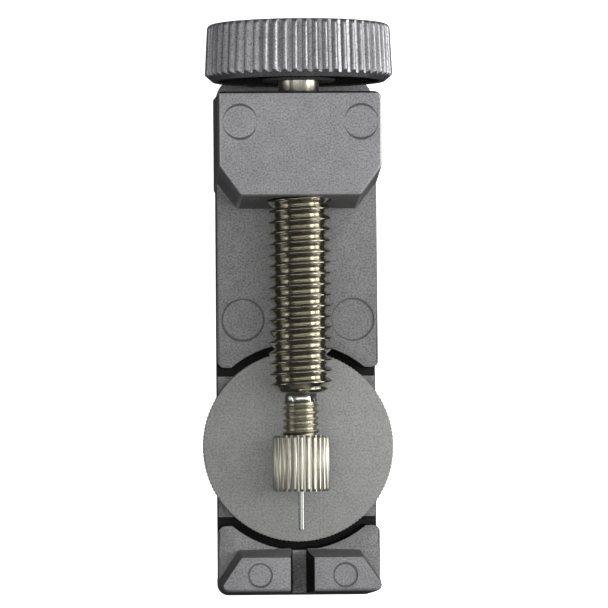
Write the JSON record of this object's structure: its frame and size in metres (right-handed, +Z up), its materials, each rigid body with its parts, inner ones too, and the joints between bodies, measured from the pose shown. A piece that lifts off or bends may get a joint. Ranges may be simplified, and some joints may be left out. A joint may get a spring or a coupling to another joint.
{
  "type": "bracelet link pin remover",
  "caption": "Hand tool that pushes link pins out of a watch bracelet: a bed with a screw-driven push pin, a slotted end stop and a round platform that screws up and down.",
  "frame": {"origin": "on the underside, at the centre of the object's box", "axes": "+Y along the lead screw from the slotted end stop to the knob, +Z up, +X to the right seen from above with the knob at the top"},
  "size_m": [0.025, 0.0748, 0.0302],
  "materials": {
    "cast_zinc": "shot-blasted zinc casting, matte grey",
    "nickel_steel": "bright nickel plate, slightly warm"
  },
  "bodies": {
    "base": {"base_frame": "cast_zinc"},
    "pin_carriage": {"push_pin": "nickel_steel"},
    "spindle": {"lead_screw": "nickel_steel", "thumb_knob": "cast_zinc", "pin_chuck": "nickel_steel"},
    "platform_post": {"platform_stem": "nickel_steel"},
    "platform": {"platform_disc": "cast_zinc"}
  },
  "joints": [
    {"name": "pin_slide", "type": "slide", "parent": "base", "child": "pin_carriage", "axis": [0, 1, 0], "range_m": [-0.001, 0.029]},
    {"name": "knob_turn", "type": "hinge", "parent": "pin_carriage", "child": "spindle", "pos_m": [0, 0.0335, 0.018], "axis": [0, 1, 0], "range_deg": [-257.15, 7457.15]},
    {"name": "platform_lift", "type": "slide", "parent": "base", "child": "platform_post", "axis": [0, 0, 1], "range_m": [0, 0.003]},
    {"name": "platform_turn", "type": "hinge", "parent": "platform_post", "child": "platform", "pos_m": [0, -0.01765, 0.008], "axis": [0, 0, 1], "range_deg": [0, 1080]}
  ],
  "couplings": [
    {"joint": "knob_turn", "follows": "pin_slide", "rad_per_m": 4488},
    {"joint": "platform_turn", "follows": "platform_lift", "rad_per_m": 6283.2}
  ]
}
